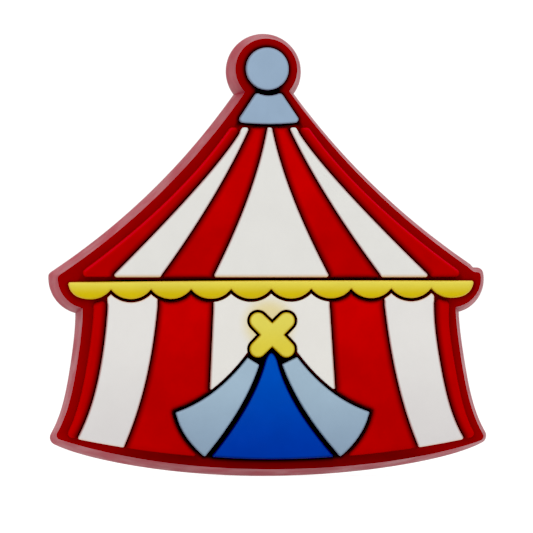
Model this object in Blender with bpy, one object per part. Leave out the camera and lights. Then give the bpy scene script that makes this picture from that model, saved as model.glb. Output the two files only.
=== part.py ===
"""A small moulded soft-PVC shoe charm in the shape of a carnival tent.

The charm stands upright: X runs across the tent, Z up its height, and its face looks
towards -Y. The origin is on the axis of the fastening stud, in the plane of the flat back.
Sizes below are in millimetres. Outlines are (x, z) points of the drawing, counter-clockwise
as seen from the front. Pairs keyed 1 and -1 belong to the right and left side, both drawn on
the right and mirrored where they are used. Above the eaves the drawing leans to the left.
"""
from math import acos, atan2, ceil, cos, degrees, exp, hypot, pi, radians, sin, sqrt, tan

import bpy

MM = 0.001

# Thickness of each layer, measured from the flat back
BASE_DEPTH = 2.6
PANEL_HEIGHT = 0.62
TRIM_HEIGHT = 0.70
SEAT_GAP = 0.02
EDGE_ROUND = 0.06
PANEL_ROUND = 0.08

# How far the back's outline hangs lower than the front edge
BACK_DROP = 0.12

# Lean above the eaves, and how outlines are rounded and joined
LEAN = 0.012
CORNER_RADIUS = 0.11
FILLET_STEP = 24
MITRE_LIMIT = 0.4
NEAR_CORNER = 0.06
MOST_CUT = 0.9
END_STRETCH = 1.0
PARALLEL = 1e-12
SMOOTH_BELOW = 40

# Steps along each kind of line
COUNT_SEAM = 12
COUNT_WALL = 10
COUNT_FOOT = 32
COUNT_SCALLOP = 8
COUNT_CURTAIN = 12
COUNT_HEM = 8
COUNT_LOBE = 8
COUNT_SLOPE = 20
COUNT_EAVES = 8
COUNT_BALL_RIM = 26
COUNT_VALANCE_TOP = 8
COUNT_VALANCE_END = 7
COUNT_DOOR = 14
COUNT_DOOR_TOP = 5
COUNT_DOOR_FOOT = 10
COUNT_CONE = 8
BALL_SIDES = 36
STUD_SIDES = 40

# Lines drawn on past the outline's sides and above the eaves, before they are cut off
PAST_SIDES = 14.5
ABOVE_EAVES = 1.2

# Narrow grooves between the stripes, and wider ones along the raised trims
GROOVE = 0.03
TRIM_GAP = 0.19
SCALLOP_GAP = 0.20
KNOT_GAP = 0.15

# Rounding of the panels' corners
WHITE_CORNER = 0.16
RED_CORNER = 0.13
OUTER_CORNER = 0.28

# Ball and cone on the peak
BALL_CENTRE = (-0.05, 15.59)
BALL_RADIUS = 1.385
BALL_RIM_CENTRE = (-0.08, 15.556)
BALL_RIM_RADIUS = 2.0
CONE_SHIFT = 0.01
CONE_GAP_RADIUS = 1.70
CONE_TOP = (0.83, 14.04)
CONE_FOOT = (2.09, 12.14)
CONE_SAG = 0.13
CONE_ROUND = 0.24

# Roof seams, each (half-width at the top, sag point, half-width below, shift to the right)
ROOF_TOP = 11.90
STRIPES_TOP = 11.83
SEAM_FOOT = 2.03
ROOF_FOOT = 2.12
ROOF_SEAMS = (
    (0.16, (0.943, 7.648), 3.875, 0.045),
    (1.20, (3.302, 7.332), 7.236, 0.024),
    (1.69, (3.136, 9.242), 10.49, 0.02),
    (2.49, (5.95, 6.97), 12.94, 0.05),
)

# Rim of the roof, right and left: neck, the slope's top, sag and end, and the way to the eaves
RIM_SLOPES = {
    1: ((1.36, 14.16), (1.74, 13.642), (6.379, 7.273), (12.86, 2.785), (13.15, 2.50), (13.60, 2.45)),
    -1: ((1.46, 14.11), (1.822, 13.608), (6.495, 7.158), (13.08, 2.657), (13.70, 2.235)),
}

# Eaves: rounded ends of the roof that stand out past the walls, with corners in front and back
EAVES_CENTRES = {1: (11.783, 2.09), -1: (11.784, 2.075)}
EAVES_RADII = {1: 1.866, -1: 1.954}
EAVES_START = 16
EAVES_END = -84
EAVES_CORNERS = {1: (0.18, 0.42), -1: (0.30, 0.34)}

# Scalloped valance
VALANCE_SHIFT = 0.02
VALANCE_TILT = 0.004
VALANCE_TOP = 1.88
VALANCE_BOW = 0.06
VALANCE_CUSP = 1.38
VALANCE_LOW = 0.76
VALANCE_HALF = 13.12
VALANCE_END_PULL = (13.02, 0.78)
VALANCE_CORNER = 0.14
SCALLOP_PITCH = 2.59
SCALLOPS_EACH_SIDE = 5

# Wall seams, right and left: the share of each power of the depth below the eaves
WALL_TOP = 0.32
WALL_SEAMS = (
    {1: (3.823, 0.0653), -1: (3.754, 0.0452)},
    {1: (7.318, 0.1168, 0.0092, 0.0003, 0.00002), -1: (7.309, 0.0991, 0.0075, 0.00107, -0.000024)},
    {1: (10.572, -0.0098, 0.0546, -0.00825, 0.000596), -1: (10.590, 0.0592, 0.0170, -0.00124, 0.000184)},
    {1: (11.563, -0.0972, 0.0925, -0.01486, 0.000969), -1: (11.477, 0.0068, 0.0462, -0.00699, 0.000521)},
)
WALL_FOOT = -9.61
WALL_FOOT_CURVE = 0.0083
WALL_RIMS = {
    1: (11.990, 0.0046, 0.0499, -0.00833, 0.000644),
    -1: (12.155, -0.0377, 0.0612, -0.00971, 0.000703),
}
RIM_FOOT = -10.243
RIM_FOOT_CURVES = {1: (0.0082, 0.0000075), -1: (0.0091, 0.000006)}
RIM_CORNER_DEPTH = 8.7

# The rim's bottom corners at its front edge and at the back: rounding, and how far they bend up
RIM_CORNER_RADIUS = 0.27
BACK_CORNER_RADIUS = 0.50
RIM_FOOT_LIFTS = (0.03, 0.12)
BACK_FOOT_LIFTS = (0.28, 0.28)
LIFT_REACH = 1.0

# How far the side wall spreads out between front edge and back, at a side's start and end
FOOT_FLARE = (0.44, 0.27)
WALL_FLARES = {1: (0.44, 0.40), -1: (0.34, 0.26)}
EAVES_FLARES = {1: (0.28, 0.42), -1: (0.27, 0.51)}
SLOPE_FLARES = {1: (0.46, 0.38), -1: (0.50, 0.48)}
BALL_FLARE = (0.41, 0.50)

# Doorway and the tied curtains, right and left
DOOR_APEX = -2.70
DOOR_SIDES = {
    1: ((0.42, -3.20), (1.11, -6.06), (4.14, -9.46)),
    -1: ((0.38, -3.20), (1.11, -6.03), (3.91, -9.46)),
}
DOOR_FOOT = -9.62
CURTAIN_INNER = {
    1: ((4.47, -9.44), (1.76, -6.45), (0.69, -3.47)),
    -1: ((4.29, -9.45), (1.70, -6.41), (0.75, -3.50)),
}
CURTAIN_UPPER = {
    1: ((1.685, -2.98), (3.72, -5.65), (6.385, -6.53)),
    -1: ((1.53, -3.02), (3.55, -5.67), (6.19, -6.56)),
}
HEM_BULGES = {1: (5.99, -8.23), -1: (5.87, -8.18)}

# Crossed knot that ties the curtains
KNOT_CENTRE = (0.07, -1.574)
KNOT_REACH = 1.305
KNOT_LOBE = 0.545
KNOT_WAIST = 0.56

# Fastening stud on the back
FLANGE_RADIUS = 5.0
FLANGE_DEPTH = 0.9
NECK_RADIUS = 2.4
NECK_LENGTH = 3.8
HEAD_RADIUS = 4.6
HEAD_THICKNESS = 1.5
HEAD_ROUND = 0.5
HEAD_BULGE = 0.3

COLOURS = {
    "red": (0.52, 0.0, 0.003),
    "rim_red": (0.33, 0.0, 0.003),
    "white": (0.78, 0.77, 0.74),
    "light_blue": (0.33, 0.45, 0.60),
    "yellow": (0.74, 0.64, 0.06),
    "blue": (0.0, 0.07, 0.47),
    "clear": (0.72, 0.72, 0.68),
}
ROUGHNESS = 0.35


def clear_scene():
    for item in list(bpy.data.objects):
        bpy.data.objects.remove(item, do_unlink=True)


def material(name):
    made = bpy.data.materials.get(name)
    if made is None:
        made = bpy.data.materials.new(name)
        made.use_nodes = True
        shader = made.node_tree.nodes["Principled BSDF"]
        shader.inputs["Base Color"].default_value = (*COLOURS[name], 1.0)
        shader.inputs["Roughness"].default_value = ROUGHNESS
        shader.inputs["Metallic"].default_value = 0.0
    return made


# Curves of the drawing
def bezier(start, pull, end, count):
    """Points on a quadratic curve."""
    points = []
    for i in range(count + 1):
        t = i / count
        weights = ((1 - t) ** 2, 2 * t * (1 - t), t * t)
        points.append(tuple(weights[0] * start[k] + weights[1] * pull[k] + weights[2] * end[k]
                            for k in (0, 1)))
    return points


def arc(centre, radius, start, end, count):
    """Points on a circle between two angles in degrees."""
    points = []
    for i in range(count + 1):
        angle = radians(start + (end - start) * i / count)
        points.append((centre[0] + radius * cos(angle), centre[1] + radius * sin(angle)))
    return points


def mirrored(points):
    """The same line on the tent's other side, run the other way."""
    return [(-x, z) for x, z in reversed(points)]


def moved(points, shift):
    return [(x + shift, z) for x, z in points]


def roof_seam(seam, sign, count=COUNT_SEAM):
    """A roof seam from the peak down, drawn on the right; sign is -1 for the left one's."""
    top, sag, foot, shift = seam
    return moved(bezier((top, ROOF_TOP), sag, (foot, SEAM_FOOT), count), sign * shift)


def wall_line(powers, depth_from, depth_to, count=COUNT_WALL):
    """A wall's seam or rim on the right, from one depth below the eaves to another."""
    points = []
    for i in range(count + 1):
        depth = depth_from + (depth_to - depth_from) * i / count
        x = sum(share * depth ** power for power, share in enumerate(powers))
        points.append((x, WALL_TOP - depth))
    return points


def wall_seam(seam, sign):
    """A seam of the wall, drawn straight up from the eaves to where it is cut off."""
    line = wall_line(seam[sign], 0.0, WALL_TOP - WALL_FOOT)
    return [(line[0][0], WALL_TOP + ABOVE_EAVES)] + line


def foot_line(height, curves, x_from, x_to, count=COUNT_FOOT):
    """The gently bowed line along the bottom of the walls."""
    points = []
    for i in range(count + 1):
        x = x_from + (x_to - x_from) * i / count
        bow, steeper = curves[1 if x > 0 else -1]
        points.append((x, height + bow * x ** 2 + steeper * x ** 4))
    return points


def scallop_radius():
    half = SCALLOP_PITCH / 2
    drop = VALANCE_CUSP - VALANCE_LOW
    return (half ** 2 + drop ** 2) / (2 * drop)


def below_scallops(x, gap):
    """Height of the line that follows the valance's scallops at a distance."""
    middle = (round(x / SCALLOP_PITCH - 0.5) + 0.5) * SCALLOP_PITCH
    reach = scallop_radius() + gap
    return VALANCE_LOW + scallop_radius() - sqrt(reach ** 2 - (x - middle) ** 2)


def scallop_line(x_from, x_to, gap):
    """The line under the scallops between two places, with a point on each cusp."""
    step = SCALLOP_PITCH / COUNT_SCALLOP
    low, high = sorted((x_from, x_to))
    inner = [i * step for i in range(ceil(low / step), ceil(high / step))]
    places = [low] + [x for x in inner if x - low > step / 3 and high - x > step / 3] + [high]
    if x_from > x_to:
        places.reverse()
    return [(x, below_scallops(x, gap)) for x in places]


def on_valance(points):
    """Points of the valance's own level drawing, set where it hangs, with its slight tilt."""
    return [(x + VALANCE_SHIFT, z + VALANCE_TILT * x) for x, z in points]


def curtain_lines(sign):
    """A curtain's edges, drawn on the right: inner edge up, upper edge out, hem back down."""
    foot, inner_sag, inner_top = CURTAIN_INNER[sign]
    outer_top, upper_sag, tip = CURTAIN_UPPER[sign]
    inner = bezier(foot, inner_sag, inner_top, COUNT_CURTAIN)
    upper = bezier(outer_top, upper_sag, tip, COUNT_CURTAIN)
    hem = bezier(tip, HEM_BULGES[sign], foot, COUNT_HEM)
    return inner, upper, hem


def around_knot(angle, distance):
    """A point at a distance from the knot's middle."""
    return arc(KNOT_CENTRE, distance, angle, angle, 1)[0]


def knot_outline():
    """Four round lobes of the crossed knot, with a notch after each."""
    points = []
    for angle in (45, 135, 225, 315):
        points += arc(around_knot(angle, KNOT_REACH), KNOT_LOBE, angle - 90, angle + 90, COUNT_LOBE)
        points.append(around_knot(angle + 45, KNOT_WAIST * sqrt(2)))
    return points


def knot_arch(gap):
    """The line over the knot at a distance, from its lower left lobe to its lower right one."""
    points = []
    for angle in (225, 135, 45, -45):
        start = angle if angle == 225 else angle + 90
        end = angle if angle == -45 else angle - 90
        points += arc(around_knot(angle, KNOT_REACH), KNOT_LOBE + gap, start, end, COUNT_LOBE)
        if angle != -45:
            points.append(around_knot(angle - 45, (KNOT_WAIST + gap) * sqrt(2)))
    return points


def slope_line(sign):
    """The rim along the roof's slope, drawn on the right, from the neck to the eaves' corner."""
    neck, top, sag, end, *corner = RIM_SLOPES[sign]
    return [neck] + bezier(top, sag, end, COUNT_SLOPE) + corner


def lifted(line, lifts):
    """The line with its two ends bent up over a short reach."""
    ends = (line[0][0], line[-1][0])
    return [(x, z + sum(lift * exp(-abs(x - end) / LIFT_REACH) for end, lift in zip(ends, lifts)))
            for x, z in line]


def rim_sides(back):
    """Sides of the whole rim, counter-clockwise: (line, flare at its ends, steps, corner radius).

    The radius is that of the corner after the side, and 0 keeps the corner sharp.
    """
    walls = {sign: wall_line(WALL_RIMS[sign], 0.0, RIM_CORNER_DEPTH) for sign in (1, -1)}
    eaves = {sign: arc(EAVES_CENTRES[sign], EAVES_RADII[sign], EAVES_END, EAVES_START, COUNT_EAVES)
             for sign in (1, -1)}
    foot = foot_line(RIM_FOOT, RIM_FOOT_CURVES, -walls[-1][-1][0], walls[1][-1][0])
    foot = lifted(foot, BACK_FOOT_LIFTS if back else RIM_FOOT_LIFTS)
    necks = {}
    for sign in (1, -1):
        x, z = RIM_SLOPES[sign][0]
        necks[sign] = degrees(atan2(z - BALL_RIM_CENTRE[1], sign * x - BALL_RIM_CENTRE[0]))
    top = arc(BALL_RIM_CENTRE, BALL_RIM_RADIUS, necks[1], 360 + necks[-1], COUNT_BALL_RIM)
    bottom_corner = BACK_CORNER_RADIUS if back else RIM_CORNER_RADIUS
    eaves_corners = {sign: pair[1 if back else 0] for sign, pair in EAVES_CORNERS.items()}
    slopes = {sign: slope_line(sign)[::-1] for sign in (1, -1)}
    return (
        (foot, FOOT_FLARE, COUNT_FOOT, bottom_corner),
        (walls[1][::-1], WALL_FLARES[1], COUNT_WALL, 0.0),
        (eaves[1], EAVES_FLARES[1], COUNT_EAVES, eaves_corners[1]),
        (slopes[1], SLOPE_FLARES[1], COUNT_SLOPE, 0.0),
        (top, BALL_FLARE, COUNT_BALL_RIM, 0.0),
        (mirrored(slopes[-1]), SLOPE_FLARES[-1][::-1], COUNT_SLOPE, eaves_corners[-1]),
        (mirrored(eaves[-1]), EAVES_FLARES[-1][::-1], COUNT_EAVES, 0.0),
        (mirrored(walls[-1][::-1]), WALL_FLARES[-1], COUNT_WALL, bottom_corner),
    )


def rim_ring(widening, flared=False):
    """The rim's outline moved out by a distance, and by the flare too at the back.

    Each ring has the same number of points, so that rings can be joined.
    """
    sides = rim_sides(flared)
    count = len(sides)
    lines = []
    for line, flare, steps, radius in sides:
        start, end = flare if flared else (0.0, 0.0)
        lines.append(stretched(offset_line(line, -widening - start, -widening - end)))
    for i in range(count):
        following = (i + 1) % count
        lines[i], lines[following] = meet(lines[i], lines[following])
    corners = []
    for i in range(count):
        corner = lines[i][-1]
        reach, points = fillet(lines[i][-2], corner, lines[(i + 1) % count][1], sides[i][3])
        corners.append((reach if sides[i][3] else 0.0, points))
    outline = []
    for i, (line, flare, steps, radius) in enumerate(sides):
        kept = cut_back(lines[i][::-1], corners[i - 1][0])[::-1]
        kept = resampled(cut_back(kept, corners[i][0]), steps)
        outline += kept if radius else kept[:-1]
        if radius:
            following = lines[(i + 1) % count]
            start = cut_back(following[::-1], corners[i][0])[-1]
            outline += corners[i][1](kept[-1], start)
    return outline


# Working on outlines
def offset_line(points, distance, end_distance=None):
    """The open line moved sideways, to its left for a positive distance.

    With an end distance, the distance changes evenly from one end to the other.
    """
    moved_points = []
    last = len(points) - 1
    growth = 0.0 if end_distance is None else (end_distance - distance) / last
    for i, (x, z) in enumerate(points):
        before = points[max(i - 1, 0)]
        after = points[min(i + 1, last)]
        dx, dz = after[0] - before[0], after[1] - before[1]
        length = hypot(dx, dz)
        reach = distance + growth * i
        moved_points.append((x - dz / length * reach, z + dx / length * reach))
    return moved_points


def resampled(points, count):
    """The open line again, as a given number of equal steps along it."""
    lengths = [0.0]
    for (ax, az), (bx, bz) in zip(points, points[1:]):
        lengths.append(lengths[-1] + hypot(bx - ax, bz - az))
    placed_points = []
    k = 0
    for i in range(count + 1):
        target = lengths[-1] * i / count
        while k < len(points) - 2 and lengths[k + 1] < target:
            k += 1
        t = (target - lengths[k]) / (lengths[k + 1] - lengths[k])
        placed_points.append(tuple(points[k][n] + (points[k + 1][n] - points[k][n]) * t
                                   for n in (0, 1)))
    return placed_points


def stretched(points, reach=END_STRETCH):
    """The open line made longer at both ends, straight on."""
    (ax, az), (bx, bz) = points[1], points[0]
    scale = reach / hypot(bx - ax, bz - az)
    head = (bx + (bx - ax) * scale, bz + (bz - az) * scale)
    (cx, cz), (dx, dz) = points[-2], points[-1]
    scale = reach / hypot(dx - cx, dz - cz)
    tail = (dx + (dx - cx) * scale, dz + (dz - cz) * scale)
    return [head] + points + [tail]


def crossing(a, b, c, d):
    """Where segment ab crosses segment cd, or None."""
    rx, rz = b[0] - a[0], b[1] - a[1]
    sx, sz = d[0] - c[0], d[1] - c[1]
    turn = rx * sz - rz * sx
    if abs(turn) < PARALLEL:
        return None
    t = ((c[0] - a[0]) * sz - (c[1] - a[1]) * sx) / turn
    u = ((c[0] - a[0]) * rz - (c[1] - a[1]) * rx) / turn
    if 0 <= t <= 1 and 0 <= u <= 1:
        return (a[0] + rx * t, a[1] + rz * t)
    return None


def apart(one, other):
    """Whether two points are far enough from each other to both be kept."""
    return hypot(one[0] - other[0], one[1] - other[1]) > NEAR_CORNER


def meet(first, second):
    """Two lines cut off where the first one's end crosses the second one's start."""
    for i in reversed(range(len(first) - 1)):
        for j in range(len(second) - 1):
            point = crossing(first[i], first[i + 1], second[j], second[j + 1])
            if point:
                before = [other for other in first[:i + 1] if apart(other, point)]
                after = [other for other in second[j + 1:] if apart(other, point)]
                return before + [point], [point] + after
    raise ValueError("two sides of a panel do not meet")


def cut_back(points, distance):
    """The line without the stretch of a given length at its end."""
    kept = list(points)
    left = distance
    while len(kept) > 2:
        (ax, az), (bx, bz) = kept[-2], kept[-1]
        length = hypot(bx - ax, bz - az)
        if length > left:
            break
        left -= length
        kept.pop()
    (ax, az), (bx, bz) = kept[-2], kept[-1]
    length = hypot(bx - ax, bz - az)
    share = min(left / length, MOST_CUT)
    kept[-1] = (bx + (ax - bx) * share, bz + (az - bz) * share)
    return kept


def fillet(before, corner, after, radius):
    """How far a rounded corner reaches along its sides, and a maker of its points."""
    ax, az = before[0] - corner[0], before[1] - corner[1]
    bx, bz = after[0] - corner[0], after[1] - corner[1]
    cosine = (ax * bx + az * bz) / (hypot(ax, az) * hypot(bx, bz))
    half = acos(max(-1.0, min(1.0, cosine))) / 2
    steps = max(2, round((pi - 2 * half) / radians(FILLET_STEP)))

    def points(start, end):
        made = []
        for i in range(1, steps):
            t = i / steps
            weights = ((1 - t) ** 2, 2 * t * (1 - t) * sin(half), t * t)
            total = sum(weights)
            made.append(tuple((weights[0] * start[k] + weights[1] * corner[k] + weights[2] * end[k])
                              / total for k in (0, 1)))
        return made

    return radius / tan(half), points


def closed_outline(sides, inset, radius=CORNER_RADIUS):
    """One closed outline from its sides, moved inwards, with its corners rounded."""
    count = len(sides)
    lines = [stretched(offset_line(side, inset)) for side in sides]
    for i in range(count):
        following = (i + 1) % count
        lines[i], lines[following] = meet(lines[i], lines[following])
    corners = []
    for i, line in enumerate(lines):
        corners.append(fillet(line[-2], line[-1], lines[(i + 1) % count][1], radius))
    trimmed = []
    for i, line in enumerate(lines):
        from_start = cut_back(line[::-1], corners[i - 1][0])[::-1]
        trimmed.append(cut_back(from_start, corners[i][0]))
    outline = []
    for i in range(count):
        outline += trimmed[i]
        outline += corners[i][1](trimmed[i][-1], trimmed[(i + 1) % count][0])
    return outline


def ring_offset(outline, distance):
    """A closed outline with each point moved outwards, keeping the number of points."""
    moved_points = []
    count = len(outline)
    for i, (x, z) in enumerate(outline):
        before, after = outline[i - 1], outline[(i + 1) % count]
        ax, az = x - before[0], z - before[1]
        bx, bz = after[0] - x, after[1] - z
        a_len, b_len = hypot(ax, az), hypot(bx, bz)
        nx = az / a_len + bz / b_len
        nz = -ax / a_len - bx / b_len
        length = hypot(nx, nz)
        reach = distance / max(length / 2, MITRE_LIMIT) / length
        moved_points.append((x + nx * reach, z + nz * reach))
    return moved_points


def placed(outline):
    """The outline set on the tent's middle line, which leans above the eaves."""
    return [(x - LEAN * max(z, 0.0), z) for x, z in outline]


# Solids
def solid(name, rings, colour, smooth_angle=SMOOTH_BELOW):
    """A closed body through rings of equal count, each (outline, y), from back to front."""
    count = len(rings[0][0])
    vertices = []
    for outline, y in rings:
        vertices += [(x * MM, y * MM, z * MM) for x, z in outline]
    faces = [tuple(reversed(range(count)))]
    for k in range(len(rings) - 1):
        for i in range(count):
            j = (i + 1) % count
            faces.append((k * count + i, k * count + j, (k + 1) * count + j, (k + 1) * count + i))
    last = (len(rings) - 1) * count
    faces.append(tuple(last + i for i in range(count)))
    mesh = bpy.data.meshes.new(name)
    mesh.from_pydata(vertices, [], faces)
    mesh.validate()
    mesh.shade_smooth()
    mesh.set_sharp_from_angle(angle=radians(smooth_angle))
    made = bpy.data.objects.new(name, mesh)
    made.data.materials.append(material(colour))
    bpy.context.scene.collection.objects.link(made)
    return made


def raised(name, outline, height, colour):
    """A coloured panel that stands on the face of the base, with a rounded upper edge."""
    foot = placed(outline)
    crown = placed(ring_offset(outline, -PANEL_ROUND))
    near_crown = placed(ring_offset(outline, -PANEL_ROUND * (1 - cos(radians(45)))))
    seat = -BASE_DEPTH - SEAT_GAP
    top = -BASE_DEPTH - height
    shoulder = top + PANEL_ROUND
    middle = top + PANEL_ROUND * (1 - sin(radians(45)))
    return solid(name, [(foot, seat), (foot, shoulder), (near_crown, middle), (crown, top)], colour)


def circle(radius, sides=STUD_SIDES):
    return arc((0.0, 0.0), radius, 0, 360 - 360 / sides, sides - 1)


# Pieces
def build_base():
    face = -BASE_DEPTH
    near_front = placed(rim_ring(-EDGE_ROUND * (1 - cos(radians(45)))))
    back = [(x, z - BACK_DROP) for x, z in placed(rim_ring(0.0, flared=True))]
    rings = [(back, 0.0), (placed(rim_ring(0.0)), face + EDGE_ROUND),
             (near_front, face + EDGE_ROUND * (1 - sin(radians(45)))),
             (placed(rim_ring(-EDGE_ROUND)), face)]
    base = solid("base", rings, "rim_red")
    pocket = circle(FLANGE_RADIUS + SEAT_GAP)
    cutter = solid("stud_pocket_guide", [(pocket, FLANGE_DEPTH), (pocket, -FLANGE_DEPTH)], "rim_red")
    cutter.hide_render = True
    cutter.display_type = "WIRE"
    cut = base.modifiers.new("stud_pocket", "BOOLEAN")
    cut.operation = "DIFFERENCE"
    cut.solver = "EXACT"
    cut.object = cutter


def build_roof():
    top = [(PAST_SIDES, STRIPES_TOP), (-PAST_SIDES, STRIPES_TOP)]
    foot = [(-PAST_SIDES, ROOF_FOOT), (PAST_SIDES, ROOF_FOOT)]
    seams = {sign: [roof_seam(seam, sign) for seam in ROOF_SEAMS] for sign in (1, -1)}
    middle = [foot, seams[1][0][::-1], top, mirrored(seams[-1][0][::-1])]
    centre = closed_outline(middle, GROOVE / 2, WHITE_CORNER)
    raised("roof_white_centre", centre, PANEL_HEIGHT, "white")
    stripes = (("roof_red_inner", "red", RED_CORNER), ("roof_white", "white", WHITE_CORNER),
               ("roof_red_outer", "red", OUTER_CORNER))
    for k, (name, colour, corner) in enumerate(stripes):
        for side, sign in (("right", 1), ("left", -1)):
            sides = [foot, seams[sign][k + 1][::-1], top, seams[sign][k]]
            outline = closed_outline(sides, GROOVE / 2, corner)
            outline = outline if sign > 0 else mirrored(outline)
            raised(f"{name}_{side}", outline, PANEL_HEIGHT, colour)


def build_peak():
    ball = arc(BALL_CENTRE, BALL_RADIUS, 0, 360 - 360 / BALL_SIDES, BALL_SIDES - 1)
    raised("finial_ball", ball, TRIM_HEIGHT, "light_blue")
    centre = (0.0, BALL_CENTRE[1])
    half = degrees(atan2(CONE_TOP[0], CONE_GAP_RADIUS))
    under_ball = arc(centre, CONE_GAP_RADIUS, -90 + half, -90 - half, COUNT_CONE)
    foot = bezier((-CONE_FOOT[0], CONE_FOOT[1]), (0.0, CONE_FOOT[1] - 2 * CONE_SAG), CONE_FOOT,
                  COUNT_CONE)
    right = [CONE_FOOT, CONE_TOP]
    outline = closed_outline([foot, right, under_ball, mirrored(right)], 0.0, CONE_ROUND)
    raised("finial_cone", moved(outline, CONE_SHIFT), TRIM_HEIGHT, "light_blue")


def build_valance():
    end_middle = SCALLOP_PITCH * (SCALLOPS_EACH_SIDE - 0.5)
    right = scallop_line(0.0, end_middle, 0.0)
    end = bezier((end_middle, VALANCE_LOW), VALANCE_END_PULL, (VALANCE_HALF, VALANCE_TOP),
                 COUNT_VALANCE_END)
    low = mirrored(right)[:-1] + right
    top = bezier((VALANCE_HALF, VALANCE_TOP), (0.0, VALANCE_TOP + 2 * VALANCE_BOW),
                 (-VALANCE_HALF, VALANCE_TOP), COUNT_VALANCE_TOP)
    outline = closed_outline([low + end[1:], top, mirrored(end)], 0.0, VALANCE_CORNER)
    raised("valance", on_valance(outline), TRIM_HEIGHT, "yellow")


def build_walls():
    half = GROOVE / 2
    bows = {sign: (WALL_FOOT_CURVE, 0.0) for sign in (1, -1)}
    foot = foot_line(WALL_FOOT, bows, -PAST_SIDES, PAST_SIDES)
    top_end = SCALLOP_PITCH * SCALLOPS_EACH_SIDE
    scallops = on_valance(scallop_line(top_end, -top_end, SCALLOP_GAP - half))
    stripes = (("wall_red_inner", "red", RED_CORNER), ("wall_white", "white", WHITE_CORNER),
               ("wall_red_outer", "red", OUTER_CORNER))
    above = {}
    for side, sign in (("right", 1), ("left", -1)):
        inner, upper, hem = curtain_lines(sign)
        above[sign] = offset_line(upper, TRIM_GAP - half)
        top = scallops if sign > 0 else mirrored(scallops)
        for k, (name, colour, corner) in enumerate(stripes):
            outer, nearer = (wall_seam(WALL_SEAMS[n], sign) for n in (k + 1, k))
            sides = [foot, outer[::-1], top, nearer]
            if k == 0:
                sides += [above[sign], offset_line(hem, TRIM_GAP - half)]
            outline = closed_outline(sides, half, corner)
            outline = outline if sign > 0 else mirrored(outline)
            raised(f"{name}_{side}", outline, PANEL_HEIGHT, colour)
    edges = {sign: wall_seam(WALL_SEAMS[0], sign)[::-1] for sign in (1, -1)}
    middle = [edges[1], scallops, mirrored(edges[-1]), mirrored(above[-1]),
              knot_arch(KNOT_GAP - half), above[1]]
    raised("wall_white_centre", closed_outline(middle, half), PANEL_HEIGHT, "white")


def build_doorway():
    sides = {sign: bezier(*DOOR_SIDES[sign][::-1], COUNT_DOOR) for sign in (1, -1)}
    corners = [(-DOOR_SIDES[-1][2][0], DOOR_SIDES[-1][2][1]), DOOR_SIDES[1][2]]
    bow = (0.0, 2 * DOOR_FOOT - corners[0][1])
    shoulders = [DOOR_SIDES[1][0], (-DOOR_SIDES[-1][0][0], DOOR_SIDES[-1][0][1])]
    dome = bezier(shoulders[0], (0.0, 2 * DOOR_APEX - shoulders[0][1]), shoulders[1],
                  COUNT_DOOR_TOP)
    foot = bezier(corners[0], bow, corners[1], COUNT_DOOR_FOOT)
    door = closed_outline([foot, sides[1], dome, mirrored(sides[-1])], 0.0)
    raised("door", door, PANEL_HEIGHT, "blue")
    for side, sign in (("right", 1), ("left", -1)):
        inner, upper, hem = curtain_lines(sign)
        curtain = closed_outline([inner[::-1], hem[::-1], upper[::-1], [upper[0], inner[-1]]], 0.0)
        curtain = curtain if sign > 0 else mirrored(curtain)
        raised(f"curtain_{side}", curtain, TRIM_HEIGHT, "light_blue")
    raised("knot", knot_outline(), TRIM_HEIGHT, "yellow")


def build_stud():
    """Button on the back that snaps through a hole in a shoe: flange, neck and head."""
    head_foot = NECK_LENGTH
    head_top = NECK_LENGTH + HEAD_THICKNESS
    profile = (
        (FLANGE_RADIUS, -FLANGE_DEPTH + SEAT_GAP),
        (FLANGE_RADIUS, 0.0),
        (NECK_RADIUS, 0.0),
        (NECK_RADIUS, head_foot),
        (HEAD_RADIUS - HEAD_ROUND / 2, head_foot),
        (HEAD_RADIUS, head_foot + HEAD_ROUND / 2),
        (HEAD_RADIUS, head_top - HEAD_ROUND),
        (HEAD_RADIUS - HEAD_ROUND * HEAD_BULGE, head_top - HEAD_ROUND * HEAD_BULGE),
        (HEAD_RADIUS - HEAD_ROUND, head_top),
    )
    rings = [(circle(radius), y) for radius, y in profile]
    solid("stud", rings[::-1], "clear")


clear_scene()
build_base()
build_roof()
build_peak()
build_valance()
build_walls()
build_doorway()
build_stud()
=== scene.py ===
"""Dressed model and studio for the carnival tent shoe charm.

Sizes are in millimetres until a mesh is made. The drawing's outlines are (x, z) points,
counter-clockwise as seen from the front, built from the same values as the part's own. Pairs
keyed 1 and -1 belong to the right and left side, both drawn on the right and mirrored where
they are used. Above the eaves the drawing leans to the left.
"""
from math import acos, atan2, ceil, cos, degrees, exp, hypot, pi, radians, sin, sqrt, tan

import bpy
import numpy as np
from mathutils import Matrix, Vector, noise
from mathutils.geometry import delaunay_2d_cdt


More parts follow.
